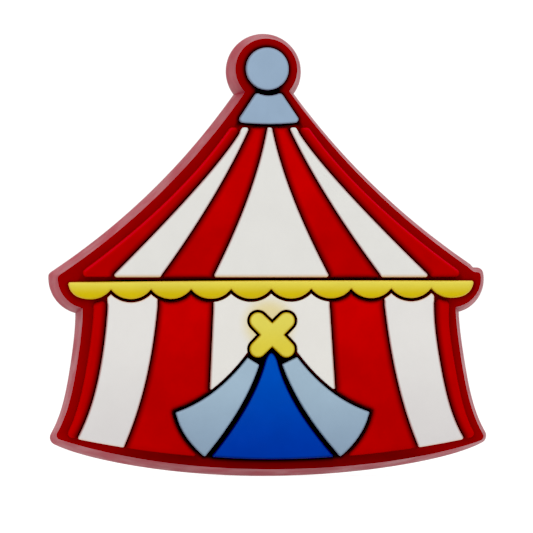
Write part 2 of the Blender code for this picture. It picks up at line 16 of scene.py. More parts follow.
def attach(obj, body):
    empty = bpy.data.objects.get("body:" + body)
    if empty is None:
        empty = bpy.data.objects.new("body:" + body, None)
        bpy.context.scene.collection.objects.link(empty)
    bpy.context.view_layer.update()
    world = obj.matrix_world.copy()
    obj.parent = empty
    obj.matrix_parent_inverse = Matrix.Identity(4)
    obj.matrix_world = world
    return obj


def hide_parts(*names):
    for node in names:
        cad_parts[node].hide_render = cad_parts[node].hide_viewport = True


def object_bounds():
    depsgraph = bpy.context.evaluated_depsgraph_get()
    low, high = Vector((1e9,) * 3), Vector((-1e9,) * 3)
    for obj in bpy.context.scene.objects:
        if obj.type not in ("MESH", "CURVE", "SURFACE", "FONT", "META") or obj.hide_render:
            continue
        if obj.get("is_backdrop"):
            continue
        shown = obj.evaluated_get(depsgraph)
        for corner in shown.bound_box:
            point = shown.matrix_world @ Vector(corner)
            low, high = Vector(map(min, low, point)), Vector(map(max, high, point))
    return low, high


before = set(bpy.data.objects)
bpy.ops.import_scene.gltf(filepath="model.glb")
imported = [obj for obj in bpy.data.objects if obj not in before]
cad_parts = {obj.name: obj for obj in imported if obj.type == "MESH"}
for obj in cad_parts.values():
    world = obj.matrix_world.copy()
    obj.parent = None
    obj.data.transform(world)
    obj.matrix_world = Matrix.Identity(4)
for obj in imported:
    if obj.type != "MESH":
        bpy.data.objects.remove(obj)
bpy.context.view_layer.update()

MM = 0.001

# Height of each layer, the rounding of the rim's edge, and how far the back hangs lower
FACE = -2.6
PANEL_HEIGHT = 0.62
TRIM_HEIGHT = 0.70
EDGE_ROUND = 0.06
BACK_DROP = 0.12

# Lean above the eaves, and how outlines are rounded and joined
LEAN = 0.012
CORNER_RADIUS = 0.10
FILLET_STEP = 20
MITRE_LIMIT = 0.4
NEAR_CORNER = 0.04
MOST_CUT = 0.9
END_STRETCH = 1.0
PARALLEL = 1e-12
NO_LENGTH = 1e-18

# How areas are filled: longest step of an outline, the share of its distance that a point has
# to keep, and what the triangulation is told
LONGEST_STEP = 0.14
RING_KEEP = 0.97
RING_SPACING = 0.55
GRID_SPACING = 0.4
INSIDE_ONLY = 1
SAME_POINT = 1e-7

# Steps along each kind of line
COUNT_SEAM = 40
COUNT_WALL = 40
COUNT_FOOT = 80
COUNT_SCALLOP = 16
COUNT_CURTAIN = 40
COUNT_HEM = 24
COUNT_LOBE = 16
COUNT_SLOPE = 60
COUNT_EAVES = 20
COUNT_BALL_RIM = 60
COUNT_VALANCE_TOP = 40
COUNT_VALANCE_END = 16
COUNT_DOOR = 40
COUNT_DOOR_TOP = 12
COUNT_DOOR_FOOT = 30
COUNT_CONE_TOP = 16
COUNT_CONE_FOOT = 24
BALL_SIDES = 72
POCKET_SIDES = 72
STUD_SIDES = 96

# Lines drawn on past the outline's sides and above the eaves, before they are cut off
PAST_SIDES = 14.5
ABOVE_EAVES = 1.2

# Narrow grooves between the stripes, and wider ones along the raised trims
GROOVE = 0.03
TRIM_GAP = 0.19
SCALLOP_GAP = 0.20
KNOT_GAP = 0.15

# Rounding of the panels' corners
WHITE_CORNER = 0.16
RED_CORNER = 0.13
OUTER_CORNER = 0.28

# Ball and cone on the peak
BALL_CENTRE = (-0.05, 15.59)
BALL_RADIUS = 1.385
BALL_RIM_CENTRE = (-0.08, 15.556)
BALL_RIM_RADIUS = 2.0
CONE_SHIFT = 0.01
CONE_GAP_RADIUS = 1.70
CONE_TOP = (0.83, 14.04)
CONE_FOOT = (2.09, 12.14)
CONE_SAG = 0.13
CONE_ROUND = 0.24

# Roof seams, each (half-width at the top, sag point, half-width below, shift to the right)
ROOF_TOP = 11.90
STRIPES_TOP = 11.83
SEAM_FOOT = 2.03
ROOF_FOOT = 2.12
ROOF_SEAMS = (
    (0.16, (0.943, 7.648), 3.875, 0.045),
    (1.20, (3.302, 7.332), 7.236, 0.024),
    (1.69, (3.136, 9.242), 10.49, 0.02),
    (2.49, (5.95, 6.97), 12.94, 0.05),
)

# Rim of the roof, right and left: neck, the slope's top, sag and end, and the way to the eaves
RIM_SLOPES = {
    1: ((1.36, 14.16), (1.74, 13.642), (6.379, 7.273), (12.86, 2.785), (13.15, 2.50), (13.60, 2.45)),
    -1: ((1.46, 14.11), (1.822, 13.608), (6.495, 7.158), (13.08, 2.657), (13.70, 2.235)),
}

# Eaves: rounded ends of the roof that stand out past the walls, with corners in front and back
EAVES_CENTRES = {1: (11.783, 2.09), -1: (11.784, 2.075)}
EAVES_RADII = {1: 1.866, -1: 1.954}
EAVES_START = 16
EAVES_END = -84
EAVES_CORNERS = {1: (0.18, 0.42), -1: (0.30, 0.34)}

# Scalloped valance
VALANCE_SHIFT = 0.02
VALANCE_TILT = 0.004
VALANCE_TOP = 1.88
VALANCE_BOW = 0.06
VALANCE_CUSP = 1.38
VALANCE_LOW = 0.76
VALANCE_HALF = 13.12
VALANCE_END_PULL = (13.02, 0.78)
VALANCE_CORNER = 0.14
SCALLOP_PITCH = 2.59
SCALLOPS_EACH_SIDE = 5

# Wall seams, right and left: the share of each power of the depth below the eaves
WALL_TOP = 0.32
WALL_SEAMS = (
    {1: (3.823, 0.0653), -1: (3.754, 0.0452)},
    {1: (7.318, 0.1168, 0.0092, 0.0003, 0.00002), -1: (7.309, 0.0991, 0.0075, 0.00107, -0.000024)},
    {1: (10.572, -0.0098, 0.0546, -0.00825, 0.000596), -1: (10.590, 0.0592, 0.0170, -0.00124, 0.000184)},
    {1: (11.563, -0.0972, 0.0925, -0.01486, 0.000969), -1: (11.477, 0.0068, 0.0462, -0.00699, 0.000521)},
)
WALL_FOOT = -9.61
WALL_FOOT_CURVE = 0.0083
WALL_RIMS = {
    1: (11.990, 0.0046, 0.0499, -0.00833, 0.000644),
    -1: (12.155, -0.0377, 0.0612, -0.00971, 0.000703),
}
RIM_FOOT = -10.243
RIM_FOOT_CURVES = {1: (0.0082, 0.0000075), -1: (0.0091, 0.000006)}
RIM_CORNER_DEPTH = 8.7

# The rim's bottom corners at its front edge and at the back: rounding, and how far they bend up
RIM_CORNER_RADIUS = 0.27
BACK_CORNER_RADIUS = 0.50
RIM_FOOT_LIFTS = (0.03, 0.12)
BACK_FOOT_LIFTS = (0.28, 0.28)
LIFT_REACH = 1.0

# How far the side wall spreads out between front edge and back, at a side's start and end
FOOT_FLARE = (0.44, 0.27)
WALL_FLARES = {1: (0.44, 0.40), -1: (0.34, 0.26)}
EAVES_FLARES = {1: (0.28, 0.42), -1: (0.27, 0.51)}
SLOPE_FLARES = {1: (0.46, 0.38), -1: (0.50, 0.48)}
BALL_FLARE = (0.41, 0.50)

# Doorway and the tied curtains, right and left
DOOR_APEX = -2.70
DOOR_SIDES = {
    1: ((0.42, -3.20), (1.11, -6.06), (4.14, -9.46)),
    -1: ((0.38, -3.20), (1.11, -6.03), (3.91, -9.46)),
}
DOOR_FOOT = -9.62
CURTAIN_INNER = {
    1: ((4.47, -9.44), (1.76, -6.45), (0.69, -3.47)),
    -1: ((4.29, -9.45), (1.70, -6.41), (0.75, -3.50)),
}
CURTAIN_UPPER = {
    1: ((1.685, -2.98), (3.72, -5.65), (6.385, -6.53)),
    -1: ((1.53, -3.02), (3.55, -5.67), (6.19, -6.56)),
}
HEM_BULGES = {1: (5.99, -8.23), -1: (5.87, -8.18)}

# Crossed knot that ties the curtains
KNOT_CENTRE = (0.07, -1.574)
KNOT_REACH = 1.305
KNOT_LOBE = 0.545
KNOT_WAIST = 0.56

# Fastening stud on the back: sizes, the rounding of each corner of its profile, and the
# shallow dish in its head as (radius, depth)
FLANGE_RADIUS = 5.0
FLANGE_DEPTH = 0.9
SEAT_GAP = 0.02
NECK_RADIUS = 2.4
NECK_LENGTH = 3.8
HEAD_RADIUS = 4.6
HEAD_THICKNESS = 1.5
STUD_ROUNDS = {1: 0.1, 2: 0.12, 3: 0.35, 4: 0.3, 5: 0.35, 6: 0.5}
HEAD_DISH = ((2.2, 0.0), (1.9, 0.06), (1.2, 0.14), (0.45, 0.16), (0.36, 0.1), (0.0, 0.09))

# Rounding of the panels' upper edges
RED_ROUND = 0.32
WHITE_ROUND = 0.11
TRIM_ROUND = 0.2


# Curves of the drawing
def bezier(start, pull, end, count):
    """Points on a quadratic curve."""
    points = []
    for i in range(count + 1):
        t = i / count
        weights = ((1 - t) ** 2, 2 * t * (1 - t), t * t)
        points.append(tuple(weights[0] * start[k] + weights[1] * pull[k] + weights[2] * end[k]
                            for k in (0, 1)))
    return points


def arc(centre, radius, start, end, count):
    """Points on a circle between two angles in degrees."""
    points = []
    for i in range(count + 1):
        angle = radians(start + (end - start) * i / count)
        points.append((centre[0] + radius * cos(angle), centre[1] + radius * sin(angle)))
    return points


def circle(centre, radius, sides):
    return arc(centre, radius, 0, 360 - 360 / sides, sides - 1)


def mirrored(points):
    """The same line on the tent's other side, run the other way."""
    return [(-x, z) for x, z in reversed(points)]


def sided(outline, sign):
    """An outline drawn on the right, mirrored for the left side."""
    return outline if sign > 0 else mirrored(outline)


def moved(points, shift):
    return [(x + shift, z) for x, z in points]


def roof_seam(seam, sign, count=COUNT_SEAM):
    """A roof seam from the peak down, drawn on the right; sign is -1 for the left one's."""
    top, sag, foot, shift = seam
    return moved(bezier((top, ROOF_TOP), sag, (foot, SEAM_FOOT), count), sign * shift)


def wall_line(powers, depth_from, depth_to, count=COUNT_WALL):
    """A wall's seam or rim on the right, from one depth below the eaves to another."""
    points = []
    for i in range(count + 1):
        depth = depth_from + (depth_to - depth_from) * i / count
        x = sum(share * depth ** power for power, share in enumerate(powers))
        points.append((x, WALL_TOP - depth))
    return points


def wall_seam(seam, sign):
    """A seam of the wall, drawn straight up from the eaves to where it is cut off."""
    line = wall_line(seam[sign], 0.0, WALL_TOP - WALL_FOOT)
    return [(line[0][0], WALL_TOP + ABOVE_EAVES)] + line


def foot_line(height, curves, x_from, x_to, count=COUNT_FOOT):
    """The gently bowed line along the bottom of the walls."""
    points = []
    for i in range(count + 1):
        x = x_from + (x_to - x_from) * i / count
        bow, steeper = curves[1 if x > 0 else -1]
        points.append((x, height + bow * x ** 2 + steeper * x ** 4))
    return points


def scallop_radius():
    """Radius of a scallop, from its width and how far it hangs below the cusps."""
    half = SCALLOP_PITCH / 2
    drop = VALANCE_CUSP - VALANCE_LOW
    return (half ** 2 + drop ** 2) / (2 * drop)


def below_scallops(x, gap):
    """Height of the line that follows the valance's scallops at a distance."""
    middle = (round(x / SCALLOP_PITCH - 0.5) + 0.5) * SCALLOP_PITCH
    reach = scallop_radius() + gap
    return VALANCE_LOW + scallop_radius() - sqrt(reach ** 2 - (x - middle) ** 2)


def scallop_line(x_from, x_to, gap):
    """The line under the scallops between two places, with a point on each cusp."""
    step = SCALLOP_PITCH / COUNT_SCALLOP
    low, high = sorted((x_from, x_to))
    inner = [i * step for i in range(ceil(low / step), ceil(high / step))]
    places = [low] + [x for x in inner if x - low > step / 3 and high - x > step / 3] + [high]
    if x_from > x_to:
        places.reverse()
    return [(x, below_scallops(x, gap)) for x in places]


def on_valance(points):
    """Points of the valance's own level drawing, set where it hangs, with its slight tilt."""
    return [(x + VALANCE_SHIFT, z + VALANCE_TILT * x) for x, z in points]


def curtain_lines(sign):
    """A curtain's edges, drawn on the right: inner edge up, upper edge out, hem back down."""
    foot, inner_sag, inner_top = CURTAIN_INNER[sign]
    outer_top, upper_sag, tip = CURTAIN_UPPER[sign]
    inner = bezier(foot, inner_sag, inner_top, COUNT_CURTAIN)
    upper = bezier(outer_top, upper_sag, tip, COUNT_CURTAIN)
    hem = bezier(tip, HEM_BULGES[sign], foot, COUNT_HEM)
    return inner, upper, hem


def around_knot(angle, distance):
    """A point at a distance from the knot's middle."""
    return arc(KNOT_CENTRE, distance, angle, angle, 1)[0]


def knot_outline():
    """Four round lobes of the crossed knot, with a notch after each."""
    points = []
    for angle in (45, 135, 225, 315):
        points += arc(around_knot(angle, KNOT_REACH), KNOT_LOBE, angle - 90, angle + 90, COUNT_LOBE)
        points.append(around_knot(angle + 45, KNOT_WAIST * sqrt(2)))
    return points


def knot_arch(gap):
    """The line over the knot at a distance, from its lower left lobe to its lower right one."""
    points = []
    for angle in (225, 135, 45, -45):
        start = angle if angle == 225 else angle + 90
        end = angle if angle == -45 else angle - 90
        points += arc(around_knot(angle, KNOT_REACH), KNOT_LOBE + gap, start, end, COUNT_LOBE)
        if angle != -45:
            points.append(around_knot(angle - 45, (KNOT_WAIST + gap) * sqrt(2)))
    return points


def slope_line(sign):
    """The rim along the roof's slope, drawn on the right, from the neck to the eaves' corner."""
    neck, top, sag, end, *corner = RIM_SLOPES[sign]
    return [neck] + bezier(top, sag, end, COUNT_SLOPE) + corner


def lifted(line, lifts):
    """The line with its two ends bent up over a short reach."""
    ends = (line[0][0], line[-1][0])
    return [(x, z + sum(lift * exp(-abs(x - end) / LIFT_REACH) for end, lift in zip(ends, lifts)))
            for x, z in line]


def rim_sides(back):
    """Sides of the whole rim, counter-clockwise: (line, flare at its ends, steps, corner radius).

    The radius is that of the corner after the side, and 0 keeps the corner sharp.
    """
    walls, eaves, slopes, necks = {}, {}, {}, {}
    for sign in (1, -1):
        walls[sign] = wall_line(WALL_RIMS[sign], 0.0, RIM_CORNER_DEPTH)[::-1]
        eaves[sign] = arc(EAVES_CENTRES[sign], EAVES_RADII[sign], EAVES_END, EAVES_START, COUNT_EAVES)
        slopes[sign] = slope_line(sign)[::-1]
        x, z = RIM_SLOPES[sign][0]
        necks[sign] = degrees(atan2(z - BALL_RIM_CENTRE[1], sign * x - BALL_RIM_CENTRE[0]))
    foot = foot_line(RIM_FOOT, RIM_FOOT_CURVES, -walls[-1][0][0], walls[1][0][0])
    foot = lifted(foot, BACK_FOOT_LIFTS if back else RIM_FOOT_LIFTS)
    top = arc(BALL_RIM_CENTRE, BALL_RIM_RADIUS, necks[1], 360 + necks[-1], COUNT_BALL_RIM)
    bottom_corner = BACK_CORNER_RADIUS if back else RIM_CORNER_RADIUS
    eaves_corners = {sign: pair[1 if back else 0] for sign, pair in EAVES_CORNERS.items()}
    return (
        (foot, FOOT_FLARE, COUNT_FOOT, bottom_corner),
        (walls[1], WALL_FLARES[1], COUNT_WALL, 0.0),
        (eaves[1], EAVES_FLARES[1], COUNT_EAVES, eaves_corners[1]),
        (slopes[1], SLOPE_FLARES[1], COUNT_SLOPE, 0.0),
        (top, BALL_FLARE, COUNT_BALL_RIM, 0.0),
        (mirrored(slopes[-1]), SLOPE_FLARES[-1][::-1], COUNT_SLOPE, eaves_corners[-1]),
        (mirrored(eaves[-1]), EAVES_FLARES[-1][::-1], COUNT_EAVES, 0.0),
        (mirrored(walls[-1]), WALL_FLARES[-1], COUNT_WALL, bottom_corner),
    )


def rim_ring(flared=False):
    """The rim's outline, moved out by the flare at the back.

    Both rings have the same number of points, so that they can be joined.
    """
    lines, flares, steps, radii = zip(*rim_sides(flared))
    if flared:
        lines = [offset_line(line, -start, -end) for line, (start, end) in zip(lines, flares)]
    return rounded_outline(lines, radii, steps)


# Working on outlines
def offset_line(points, distance, end_distance=None):
    """The open line moved sideways, to its left for a positive distance.

    With an end distance, the distance changes evenly from one end to the other.
    """
    moved_points = []
    last = len(points) - 1
    growth = 0.0 if end_distance is None else (end_distance - distance) / last
    for i, (x, z) in enumerate(points):
        before = points[max(i - 1, 0)]
        after = points[min(i + 1, last)]
        dx, dz = after[0] - before[0], after[1] - before[1]
        length = hypot(dx, dz)
        reach = distance + growth * i
        moved_points.append((x - dz / length * reach, z + dx / length * reach))
    return moved_points


def resampled(points, count):
    """The open line again, as a given number of equal steps along it."""
    xs, zs = np.transpose(points)
    along = np.append(0.0, np.cumsum(np.hypot(np.diff(xs), np.diff(zs))))
    places = np.linspace(0.0, along[-1], count + 1)
    return list(zip(np.interp(places, along, xs).tolist(), np.interp(places, along, zs).tolist()))


def stretched(points, reach=END_STRETCH):
    """The open line made longer at both ends, straight on."""
    (ax, az), (bx, bz) = points[1], points[0]
    scale = reach / hypot(bx - ax, bz - az)
    head = (bx + (bx - ax) * scale, bz + (bz - az) * scale)
    (cx, cz), (dx, dz) = points[-2], points[-1]
    scale = reach / hypot(dx - cx, dz - cz)
    tail = (dx + (dx - cx) * scale, dz + (dz - cz) * scale)
    return [head] + points + [tail]


def crossing(a, b, c, d):
    """Where segment ab crosses segment cd, or None."""
    rx, rz = b[0] - a[0], b[1] - a[1]
    sx, sz = d[0] - c[0], d[1] - c[1]
    turn = rx * sz - rz * sx
    if abs(turn) < PARALLEL:
        return None
    t = ((c[0] - a[0]) * sz - (c[1] - a[1]) * sx) / turn
    u = ((c[0] - a[0]) * rz - (c[1] - a[1]) * rx) / turn
    if 0 <= t <= 1 and 0 <= u <= 1:
        return (a[0] + rx * t, a[1] + rz * t)
    return None


def apart(one, other):
    """Whether two points are far enough from each other to both be kept."""
    return hypot(one[0] - other[0], one[1] - other[1]) > NEAR_CORNER


def meet(first, second):
    """Two lines cut off where the first one's end crosses the second one's start."""
    for i in reversed(range(len(first) - 1)):
        for j in range(len(second) - 1):
            point = crossing(first[i], first[i + 1], second[j], second[j + 1])
            if point:
                before = [other for other in first[:i + 1] if apart(other, point)]
                after = [other for other in second[j + 1:] if apart(other, point)]
                return before + [point], [point] + after
    raise ValueError("two sides of a panel do not meet")


def cut_back(points, distance):
    """The line without the stretch of a given length at its end."""
    kept = list(points)
    left = distance
    while True:
        (ax, az), (bx, bz) = kept[-2:]
        length = hypot(bx - ax, bz - az)
        if length > left or len(kept) == 2:
            break
        left -= length
        kept.pop()
    share = min(left / length, MOST_CUT)
    kept[-1] = (bx + (ax - bx) * share, bz + (az - bz) * share)
    return kept


def fillet(before, corner, after, radius):
    """How far a rounded corner reaches along its sides, and a maker of its points."""
    ax, az = before[0] - corner[0], before[1] - corner[1]
    bx, bz = after[0] - corner[0], after[1] - corner[1]
    cosine = (ax * bx + az * bz) / (hypot(ax, az) * hypot(bx, bz))
    half = acos(max(-1.0, min(1.0, cosine))) / 2
    steps = max(2, round((pi - 2 * half) / radians(FILLET_STEP)))

    def points(start, end):
        made = []
        for i in range(1, steps):
            t = i / steps
            weights = ((1 - t) ** 2, 2 * t * (1 - t) * sin(half), t * t)
            total = sum(weights)
            made.append(tuple((weights[0] * start[k] + weights[1] * corner[k] + weights[2] * end[k])
                              / total for k in (0, 1)))
        return made

    return radius / tan(half), points


def rounded_outline(lines, radii, steps=None):
    """One closed outline from lines, cut off where they meet, with the corner after each rounded.

    With steps, each line is drawn again in its own number of equal steps.
    """
    lines = [stretched(line) for line in lines]
    for i in range(len(lines)):
        following = (i + 1) % len(lines)
        lines[i], lines[following] = meet(lines[i], lines[following])
    corners = [fillet(line[-2], line[-1], after[1], radius)
               for line, after, radius in zip(lines, lines[1:] + lines[:1], radii)]
    for i, line in enumerate(lines):
        line = cut_back(line[::-1], corners[i - 1][0])[::-1]
        line = cut_back(line, corners[i][0])
        lines[i] = resampled(line, steps[i]) if steps else line
    outline = []
    for line, after, radius, (reach, arc_points) in zip(lines, lines[1:] + lines[:1], radii, corners):
        outline += line + arc_points(line[-1], after[0]) if radius else line[:-1]
    return outline


def closed_outline(sides, inset, radius=CORNER_RADIUS):
    """One closed outline from its sides, moved inwards, with its corners rounded alike."""
    lines = [offset_line(side, inset) for side in sides]
    return rounded_outline(lines, [radius] * len(lines))


def ring_offset(outline, distance):
    """A closed outline with each point moved outwards, keeping the number of points."""
    moved_points = []
    count = len(outline)
    for i, (x, z) in enumerate(outline):
        before, after = outline[i - 1], outline[(i + 1) % count]
        ax, az = x - before[0], z - before[1]
        bx, bz = after[0] - x, after[1] - z
        a_len, b_len = hypot(ax, az), hypot(bx, bz)
        nx = az / a_len + bz / b_len
        nz = -ax / a_len - bx / b_len
        length = hypot(nx, nz)
        reach = distance / max(length / 2, MITRE_LIMIT) / length
        moved_points.append((x + nx * reach, z + nz * reach))
    return moved_points


def placed(outline):
    """The outline set on the tent's middle line, which leans above the eaves."""
    return [(x - LEAN * max(z, 0.0), z) for x, z in outline]


def split_long(outline):
    """The outline with long stretches cut into equal parts."""
    points = []
    count = len(outline)
    for i, (x, z) in enumerate(outline):
        nx, nz = outline[(i + 1) % count]
        parts = max(1, ceil(hypot(nx - x, nz - z) / LONGEST_STEP))
        points += [(x + (nx - x) * k / parts, z + (nz - z) * k / parts) for k in range(parts)]
    return points


def distance_to(points, outline):
    """Distance from each point to the closed outline, and whether it is inside."""
    p = np.asarray(points, float)[:, None, :]
    a = np.asarray(outline, float)[None, :, :]
    b = np.roll(a, -1, axis=1)
    along = b - a
    t = np.clip(((p - a) * along).sum(2) / np.maximum((along ** 2).sum(2), NO_LENGTH), 0, 1)
    nearest = a + along * t[..., None]
    distance = np.sqrt(((p - nearest) ** 2).sum(2)).min(1)
    x, z = p[..., 0], p[..., 1]
    spans = (a[..., 1] > z) != (b[..., 1] > z)
    rise = np.where(spans, b[..., 1] - a[..., 1], 1.0)
    cuts = spans & (x < (b[..., 0] - a[..., 0]) * (z - a[..., 1]) / rise + a[..., 0])
    return distance, cuts.sum(1) % 2 == 1


def spaced(points, kept, gap):
    """The points that lie at least a gap from each other and from the kept ones."""
    cells = {}

    def cell(p):
        return (int(p[0] // gap), int(p[1] // gap))

    for p in kept:
        cells.setdefault(cell(p), []).append(p)
    chosen = []
    for p in points:
        cx, cz = cell(p)
        near = [q for i in (-1, 0, 1) for j in (-1, 0, 1) for q in cells.get((cx + i, cz + j), ())]
        if all(hypot(p[0] - q[0], p[1] - q[1]) >= gap for q in near):
            cells.setdefault((cx, cz), []).append(p)
            chosen.append(p)
    return chosen


def filled(outline, rings, grid):
    """Points inside an outline: on rings at given distances from it, then on a coarse grid."""
    points = []
    kept = list(outline)
    for k, ring in enumerate(rings):
        row = ring_offset(outline, -ring)
        distance, inside = distance_to(row, outline)
        row = [p for p, d, i in zip(row, distance, inside) if i and d > ring * RING_KEEP]
        step = ring - (rings[k - 1] if k else 0.0)
        row = spaced(row, kept, step * RING_SPACING)
        points += row
        kept += row
    if grid:
        xs, zs = zip(*outline)
        cells = [(min(xs) + column * grid + row % 2 * grid / 2, min(zs) + row * grid)
                 for row in range(int((max(zs) - min(zs)) / grid) + 1)
                 for column in range(int((max(xs) - min(xs)) / grid) + 1)]
        distance, inside = distance_to(cells, outline)
        reach = rings[-1] + grid * GRID_SPACING
        cells = [p for p, d, i in zip(cells, distance, inside) if i and d > reach]
        points += spaced(cells, kept, grid * GRID_SPACING)
    return points


def triangles(points, loops):
    """Points and triangles over an area, and each loop's new numbers.

    The edges of the loops, which are lists of point numbers, are kept.
    """
    edges = [(loop[i - 1], loop[i]) for loop in loops for i in range(len(loop))]
    made = delaunay_2d_cdt([Vector(p) for p in points], edges, [], INSIDE_ONLY, SAME_POINT)
    vertices = [tuple(v) for v in made[0]]
    order = {ids[0]: i for i, ids in enumerate(made[3]) if ids}
    rows = [[order.get(v) for v in loop] for loop in loops]
    return vertices, [tuple(face) for face in made[2]], rows


# Materials, with noise scales in marks per metre and colours in sRGB numbers up to 255
LOOKS = {}
NOISE_MIDDLE = (0.3, 0.7)
GLOSS_SPREAD = 0.06
DUST_SCALE = 560.0
DUST_RADII = (0.018, 0.045)
DUST_TONE = (120, 116, 112)


def linear(*values):
    """An sRGB colour as linear light, with its alpha."""
    return tuple(v / 255 / 12.92 if v / 255 <= 0.04045 else ((v / 255 + 0.055) / 1.055) ** 2.4
                 for v in values) + (1.0,)


class Nodes:
    """Short ways to add and link the nodes of one material."""

    def __init__(self, name):
        self.material = bpy.data.materials.new(name)
        self.material.use_nodes = True
        self.tree = self.material.node_tree
        self.shader = self.tree.nodes["Principled BSDF"]
        self.place = self.add("ShaderNodeTexCoord").outputs["Object"]

    def add(self, kind, **settings):
        node = self.tree.nodes.new(kind)
        for key, value in settings.items():
            setattr(node, key, value)
        return node

    def link(self, output, socket):
        """Joins a node's output to a socket, or sets a plain value on the socket itself."""
        if isinstance(output, bpy.types.NodeSocket):
            self.tree.links.new(output, socket)
        else:
            socket.default_value = output

    def shade(self, name, value):
        """Gives one of the shader's own sockets its value."""
        self.link(value, self.shader.inputs[name])

    def math(self, operation, *values):
        node = self.add("ShaderNodeMath", operation=operation)
        for i, value in enumerate(values):
            self.link(value, node.inputs[i])
        return node.outputs[0]

    def ramp(self, value, low, high, to_low=0.0, to_high=1.0):
        """A value between two limits, eased over to a new range."""
        node = self.add("ShaderNodeMapRange", interpolation_type="SMOOTHSTEP")
        for i, item in enumerate((value, low, high, to_low, to_high)):
            self.link(item, node.inputs[i])
        return node.outputs[0]

    def scaled_place(self, scale):
        """The place on the piece, with each axis scaled."""
        spot = self.add("ShaderNodeMapping")
        self.link(self.place, spot.inputs["Vector"])
        spot.inputs["Scale"].default_value = scale
        return spot.outputs[0]

    def noise(self, scale, detail=3.0, roughness=0.5, stretch=(1, 1, 1)):
        node = self.add("ShaderNodeTexNoise")
        self.link(self.scaled_place(stretch), node.inputs["Vector"])
        for key, value in (("Scale", scale), ("Detail", detail), ("Roughness", roughness)):
            node.inputs[key].default_value = value
        return node.outputs["Fac"]

    def clouds(self, scale, low=0.0, high=1.0, detail=3.0, roughness=0.5):
        """Noise with its usual middle part spread over a whole range."""
        return self.ramp(self.noise(scale, detail, roughness), *NOISE_MIDDLE, low, high)

    def mix(self, share, first, second, blend="MIX"):
        node = self.add("ShaderNodeMix", data_type="RGBA", blend_type=blend)
        self.link(share, node.inputs["Factor"])
        self.link(first, node.inputs[6])
        self.link(second, node.inputs[7])
        return node.outputs[2]

    def tones(self, share, first, second):
        """Two sRGB colours mixed by a share of the second."""
        return self.mix(share, linear(*first), linear(*second))

    def bump(self, relief, strength, depth):
        node = self.add("ShaderNodeBump")
        node.inputs["Strength"].default_value = strength
        node.inputs["Distance"].default_value = depth
        self.link(relief, node.inputs["Height"])
        self.shade("Normal", node.outputs[0])


def soft_pvc(name, colour, lower=None, span=None, edge=None, seam=None, gloss=0.42,
             patches=0.06, dust=0.0, bleed=None, shine=0.25):
    """Moulded PVC: cloudy colour, painted shade and highlights, fine pores and dust.

    The colour turns into the lower one over a span of heights, a painted shade darker towards
    the bottom. Edge and seam are (tone, where it is full, where it ends): the edge tone is painted
    shade by the panel's own rounded edge (on the outer red panels a painted highlight), and the
    seam tone is painted shade beside other panels. Bleed is a neighbour's (tone, middle, reach,
    strength).
    """
    n = Nodes(name)
    body = linear(*colour)
    # Painted shade: the colour turns darker towards the bottom
    if lower:
        axes = n.add("ShaderNodeSeparateXYZ")
        n.link(n.place, axes.inputs[0])
        height = n.ramp(axes.outputs["Z"], span[0] * MM, span[1] * MM)
        body = n.tones(height, lower, colour)
    cloud = n.clouds(scale=420.0, low=1.0 - patches, high=1.0 + patches, detail=4.0, roughness=0.6)
    tint = n.add("ShaderNodeCombineColor")
    for socket in tint.inputs[:3]:
        n.link(cloud, socket)
    body = n.mix(1.0, body, tint.outputs[0], "MULTIPLY")
    if bleed:
        tone, (x, z), reach, strength = bleed
        away = n.add("ShaderNodeVectorMath", operation="DISTANCE")
        n.link(n.scaled_place((1, 0, 1)), away.inputs[0])
        away.inputs[1].default_value = (x * MM, 0, z * MM)
        near = n.ramp(away.outputs["Value"], reach[0] * MM, reach[1] * MM, strength, 0.0)
        body = n.mix(near, body, linear(*tone))
    # Painted light and shade: a tone by the panel's own edge, and a dark tone near other panels
    for attribute, shade in (("edge", edge), ("near", seam)):
        if shade:
            tone, low, high = shade
            kept = n.add("ShaderNodeAttribute", attribute_name=attribute)
            body = n.mix(n.ramp(kept.outputs["Fac"], low, high, 1.0, 0.0), body, linear(*tone))
    if dust:
        cells = n.add("ShaderNodeTexVoronoi", feature="F1")
        n.link(n.place, cells.inputs["Vector"])
        cells.inputs["Scale"].default_value = DUST_SCALE
        speck = n.ramp(cells.outputs["Distance"], *DUST_RADII, 1.0, 0.0)
        pick = n.add("ShaderNodeSeparateColor")
        n.link(cells.outputs["Color"], pick.inputs[0])
        chosen = n.math("GREATER_THAN", pick.outputs[0], 1.0 - dust)
        body = n.mix(n.math("MULTIPLY", speck, chosen), body, linear(*DUST_TONE))
    n.shade("Base Color", body)
    n.shade("Roughness", n.clouds(scale=700.0, low=gloss - GLOSS_SPREAD, high=gloss + GLOSS_SPREAD))
    n.shade("Specular IOR Level", shine)
    n.bump(n.noise(scale=9000.0, roughness=0.6), strength=0.25, depth=0.00001)
    LOOKS[name] = n.material


def milky_plastic(name):
    """Clear plastic of the stud, a little cloudy, with faint flow lines along its axis."""
    n = Nodes(name)
    n.shade("Base Color", n.tones(n.clouds(scale=260.0), (214, 213, 206), (228, 227, 222)))
    n.shade("Roughness", n.clouds(scale=1500.0, low=0.22, high=0.34, detail=2.0))
    n.shade("Transmission Weight", 0.35)
    n.shade("IOR", 1.49)
    lines = n.noise(scale=500.0, detail=1.0, roughness=0.3, stretch=(1, 0.2, 1))
    n.bump(lines, strength=0.12, depth=0.00002)
    LOOKS[name] = n.material
